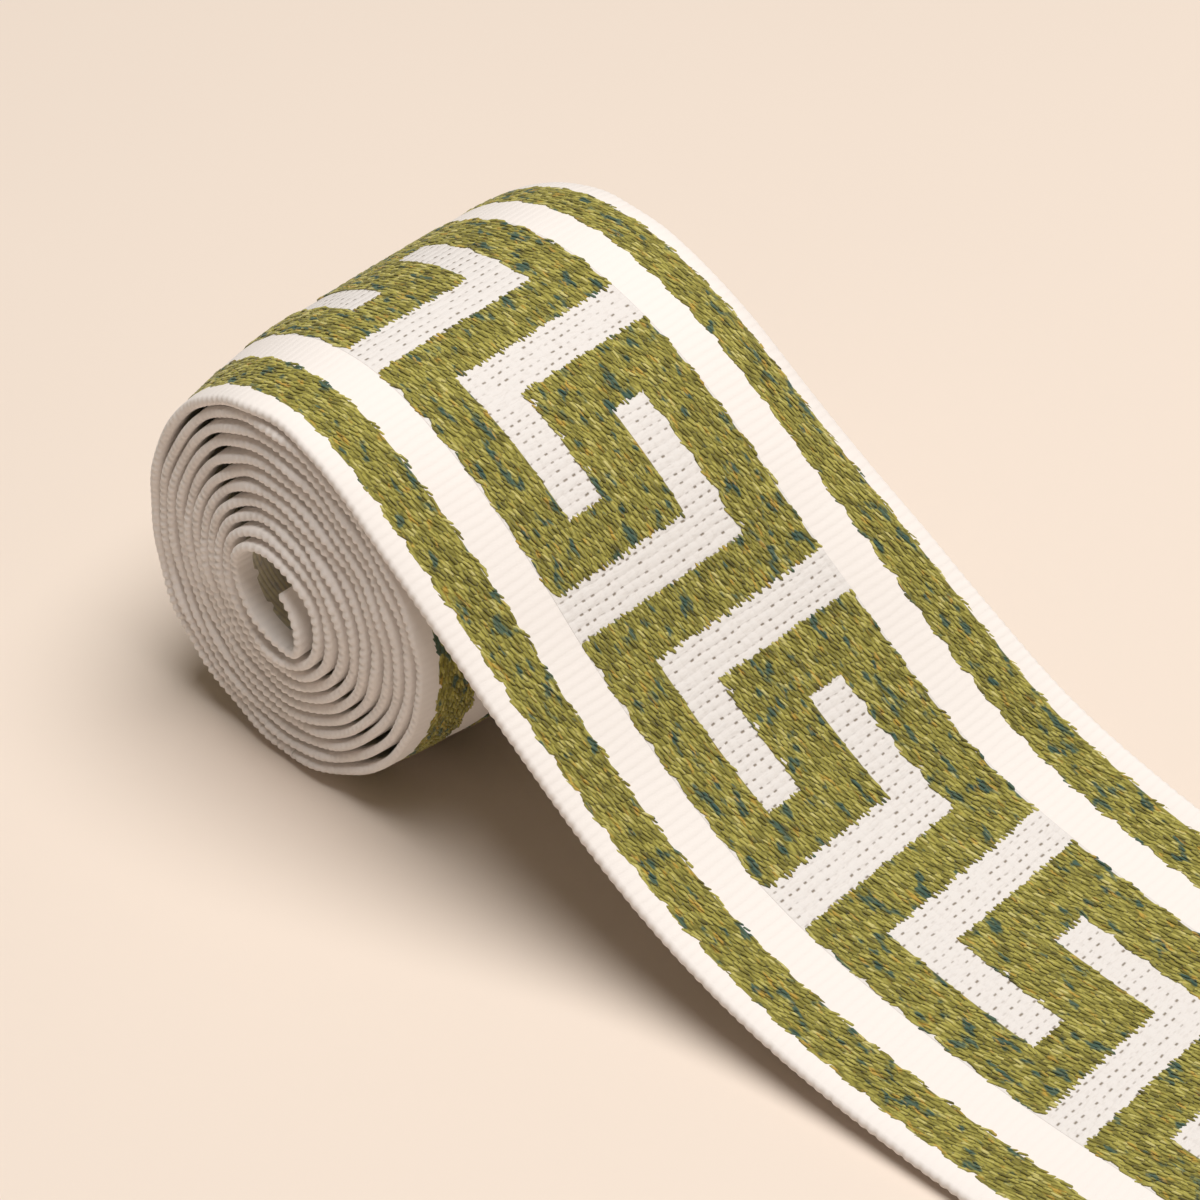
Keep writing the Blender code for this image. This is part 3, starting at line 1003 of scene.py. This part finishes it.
class TAPETRIM_OT_yarn(bpy.types.Operator):
    """Lay the melange yarn of the key pattern and the stripes on the tape"""

    bl_idname = "tapetrim.yarn"
    bl_label = "Lay the melange yarn"

    def execute(self, context):
        sizes, colours = context.scene.tape_sizes, context.scene.tape_colours
        course = Course()
        material = yarn_material(colours)
        seed = context.scene.tape_studio.seed
        top = 0.0
        turn = course.length_at(362)
        parts = {"free": (top, END_LENGTH, []), "turn": (turn, top, [])}
        for part, (start, end, pieces) in parts.items():
            for pattern, zones in (("key", KEY_ROWS), ("stripes", STRIPES)):
                name = f"{part}_{pattern}"
                seed += 1
                mesh = yarn_mesh(name, course, sizes, zones, start, end, seed)
                pieces.append(add_piece(name, mesh, material))
        return {"FINISHED"}


class TAPETRIM_OT_studio(bpy.types.Operator):
    """Set up the floor, the lights and the camera"""

    bl_idname = "tapetrim.studio"
    bl_label = "Set up the studio"

    def execute(self, context):
        scene = context.scene
        studio, colours = scene.tape_studio, scene.tape_colours
        bm = bmesh.new()
        bmesh.ops.create_grid(bm, x_segments=1, y_segments=1, size=FLOOR_HALF)
        mesh = bpy.data.meshes.new("floor")
        bm.to_mesh(mesh)
        bm.free()
        floor = bpy.data.objects.new("floor", mesh)
        context.collection.objects.link(floor)
        material, w, shader = new_material("Pale floor")
        place = w.node("ShaderNodeTexCoord").outputs["Object"]
        cloudy = w.noise(place, 9.0, 2.0)
        darker = tinted(colours.floor, 0.97, 0.97, 0.97)
        pale = w.mix(cloudy, darker, tinted(colours.floor))
        w.feed(shader.inputs["Base Color"], pale)
        shader.inputs["Roughness"].default_value = 0.95
        mesh.materials.append(material)

        a, e = studio.azimuth, studio.elevation
        back = Vector((math.sin(a) * math.cos(e), -math.cos(a) * math.cos(e), math.sin(e)))
        right = Vector((math.cos(a), math.sin(a), 0.0))
        up = back.cross(right)
        lean = Matrix.Rotation(studio.roll, 3, back)
        right, up = lean @ right, lean @ up
        camera = bpy.data.objects.new("camera", bpy.data.cameras.new("camera"))
        camera.data.lens = studio.lens
        camera.data.sensor_width = 36.0
        camera.data.clip_start = 0.01
        turn = Matrix((right, up, back)).transposed().to_4x4()
        stand = Vector(LOOKS_AT) + back * studio.distance
        camera.matrix_world = Matrix.Translation(stand) @ turn
        context.collection.objects.link(camera)
        scene.camera = camera

        lamp = bpy.data.lights.new("window", "AREA")
        lamp.shape = "DISK"
        lamp.size = WINDOW_SIZE
        lamp.energy = WINDOW_POWER
        lamp.color = WINDOW_COLOUR
        window = bpy.data.objects.new("window", lamp)
        place = Vector(WINDOW_PLACE)
        aim = place.to_track_quat("Z", "Y").to_matrix().to_4x4()
        window.matrix_world = Matrix.Translation(place) @ aim
        context.collection.objects.link(window)

        world = bpy.data.worlds.new("studio")
        world.use_nodes = True
        sky = world.node_tree.nodes["Background"]
        sky.inputs["Color"].default_value = SKY_COLOUR
        sky.inputs["Strength"].default_value = SKY_STRENGTH
        scene.world = world
        scene.view_settings.view_transform = "Standard"
        return {"FINISHED"}


class TAPETRIM_PT_panel(bpy.types.Panel):
    """Lists the steps that make the tape"""

    bl_idname = "TAPETRIM_PT_panel"
    bl_label = "Tape trim"
    bl_space_type = "VIEW_3D"
    bl_region_type = "UI"
    bl_category = "Tape trim"

    def draw(self, context):
        for operator in STEPS:
            self.layout.operator(operator.bl_idname)


STEPS = (TAPETRIM_OT_ground, TAPETRIM_OT_yarn, TAPETRIM_OT_studio)
CLASSES = (TapeSizes, TapeColours, StudioSizes, *STEPS, TAPETRIM_PT_panel)


def register():
    for item in CLASSES:
        bpy.utils.register_class(item)
    bpy.types.Scene.tape_sizes = PointerProperty(type=TapeSizes)
    bpy.types.Scene.tape_colours = PointerProperty(type=TapeColours)
    bpy.types.Scene.tape_studio = PointerProperty(type=StudioSizes)


def unregister():
    del bpy.types.Scene.tape_sizes
    del bpy.types.Scene.tape_colours
    del bpy.types.Scene.tape_studio
    for item in reversed(CLASSES):
        bpy.utils.unregister_class(item)


def main():
    register()
    bpy.ops.tapetrim.ground()
    bpy.ops.tapetrim.yarn()
    bpy.ops.tapetrim.studio()


if __name__ == "__main__":
    main()
